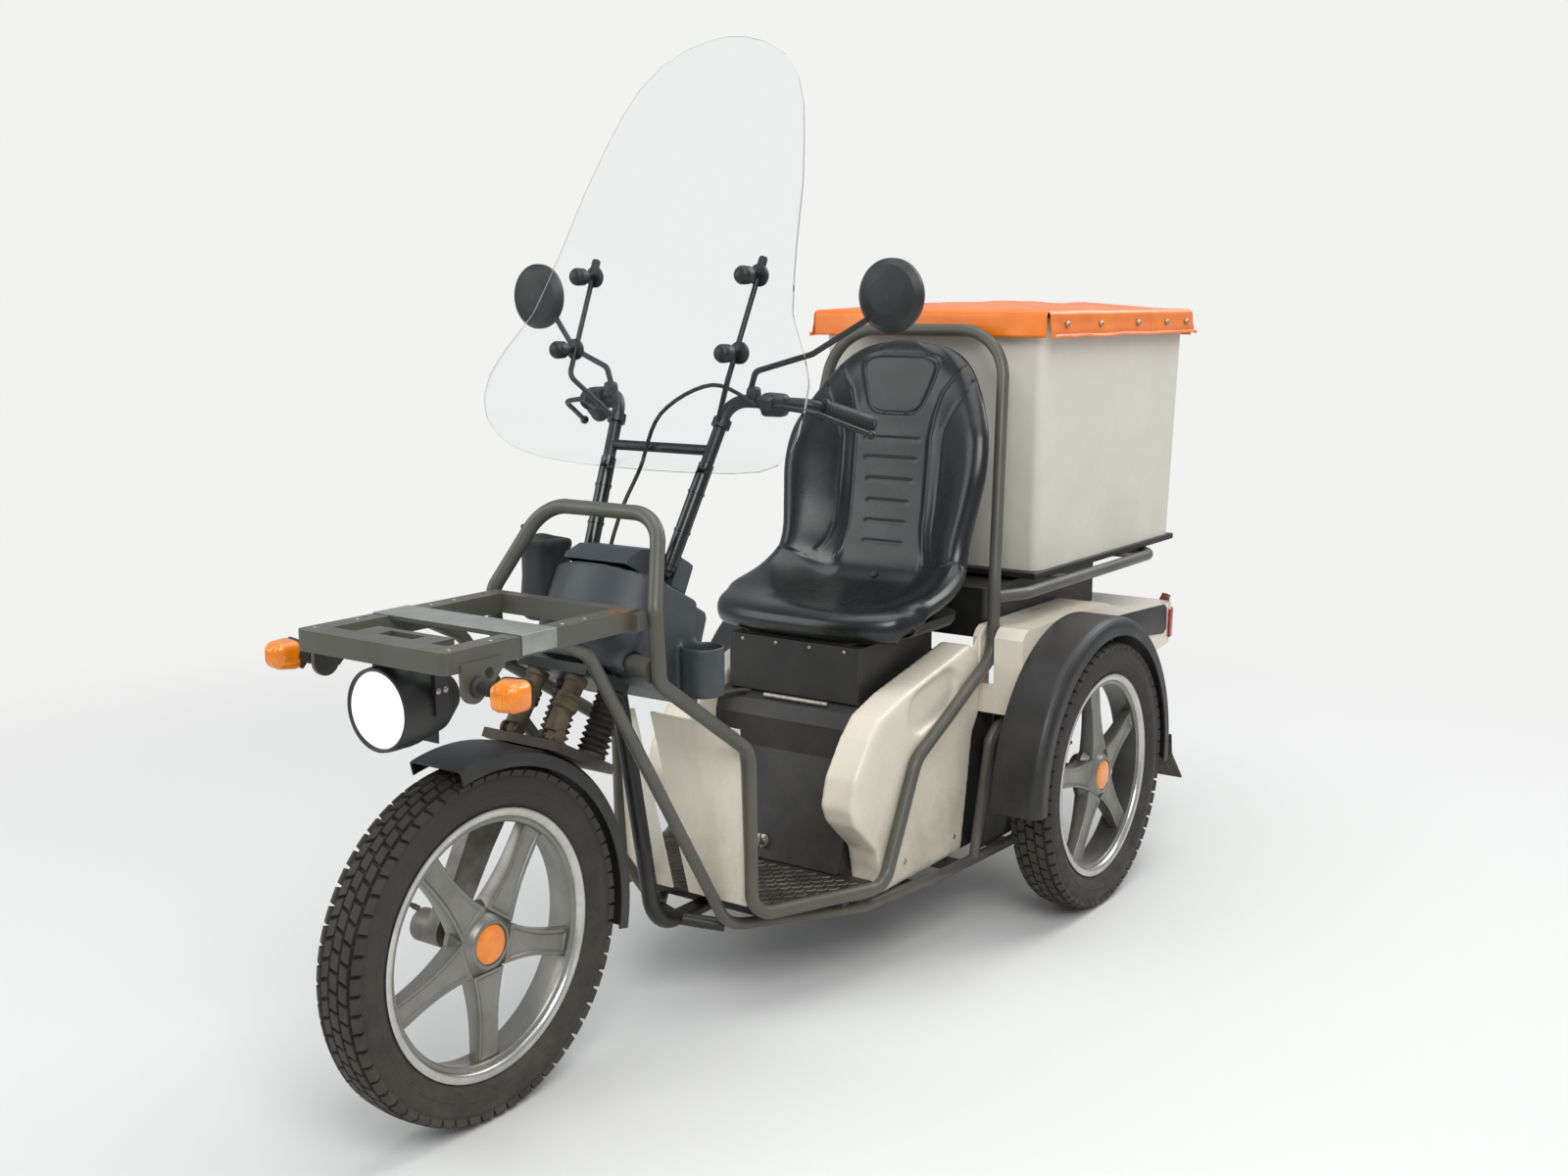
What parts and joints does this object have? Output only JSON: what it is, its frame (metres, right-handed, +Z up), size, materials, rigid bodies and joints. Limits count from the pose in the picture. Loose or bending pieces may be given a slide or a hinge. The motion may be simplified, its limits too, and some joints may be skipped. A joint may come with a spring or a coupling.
{
  "type": "electric delivery tricycle",
  "caption": "Electric delivery tricycle with a single front wheel, a bent-tube frame, a bucket seat, a clear windscreen, a front rack and a lidded cargo box",
  "frame": {"origin": "on the ground, under the middle of the box around the whole tricycle", "axes": "+X forward, +Y to the rider's left, +Z up"},
  "size_m": [2.438, 0.894, 1.722],
  "materials": {
    "frame_paint": "satin",
    "panel_cream": "gloss",
    "box_white": "matte",
    "black_plastic": "satin",
    "slate_plastic": "satin",
    "vinyl": "gloss",
    "black_steel": "satin",
    "plate": "satin",
    "cast_alloy": "satin",
    "tyre_rubber": "matte",
    "rubber": "matte",
    "tarpaulin": "satin",
    "cloth": "matte",
    "amber": "gloss",
    "red_lens": "gloss",
    "lamp_glass": "gloss",
    "clear_sheet": "gloss",
    "fork_alloy": "satin"
  },
  "bodies": {
    "chassis": {"front_hoop": "frame_paint", "side_tubes": "frame_paint", "rear_hoop": "frame_paint", "lower_rails": "frame_paint", "rear_subframe": "frame_paint", "rear_rack": "frame_paint", "front_rack": "frame_paint", "head_tube": "frame_paint", "cross_members": "black_steel", "floor_plate": "plate", "leg_shields": "panel_cream", "battery_cover": "black_plastic", "battery_pack": "black_plastic", "side_panels": "panel_cream", "rear_body": "panel_cream", "rear_fenders": "black_plastic", "mud_flaps": "rubber", "tail_lamps": "red_lens", "seat_base": "black_plastic", "seat": "vinyl", "electronics_box": "black_plastic", "box_tray": "black_plastic", "cargo_box": "box_white", "cowl": "slate_plastic", "glovebox": "slate_plastic", "side_bag": "cloth", "head_lamp": "black_plastic", "head_lamp_lens": "lamp_glass", "indicators": "amber", "rear_axle": "black_steel", "cover_band": "tarpaulin"},
    "steering": {"fork_crown": "black_steel", "fork_guides": "rubber", "fork_leg": "fork_alloy", "front_fender": "black_plastic", "handlebar": "black_steel", "hand_controls": "black_plastic", "dash_cap": "slate_plastic", "mirrors": "black_plastic", "screen_arms": "black_steel", "windscreen": "clear_sheet", "brake_cable": "rubber"},
    "front_wheel": {"front_tyre": "tyre_rubber", "front_rim": "cast_alloy"},
    "rear_left_wheel": {"rear_left_tyre": "tyre_rubber", "rear_left_rim": "cast_alloy"},
    "rear_right_wheel": {"rear_right_tyre": "tyre_rubber", "rear_right_rim": "cast_alloy"},
    "lid": {"box_lid": "tarpaulin"}
  },
  "joints": [
    {"name": "steering_turn", "type": "hinge", "parent": "chassis", "child": "steering", "pos_m": [0.538, 0, 0.867], "axis": [-0.4664, 0, 0.8846], "range_deg": [-40, 40]},
    {"name": "front_wheel_spin", "type": "hinge", "parent": "steering", "child": "front_wheel", "pos_m": [0.935, 0, 0.284], "axis": [0, 1, 0], "continuous": true},
    {"name": "rear_left_wheel_spin", "type": "hinge", "parent": "chassis", "child": "rear_left_wheel", "pos_m": [-0.475, 0.391, 0.284], "axis": [0, 1, 0], "continuous": true},
    {"name": "rear_right_wheel_spin", "type": "hinge", "parent": "chassis", "child": "rear_right_wheel", "pos_m": [-0.475, -0.391, 0.284], "axis": [0, 1, 0], "continuous": true},
    {"name": "lid_open", "type": "hinge", "parent": "chassis", "child": "lid", "pos_m": [-0.433, 0, 1.245], "axis": [0, 1, 0], "range_deg": [0, 95]}
  ]
}
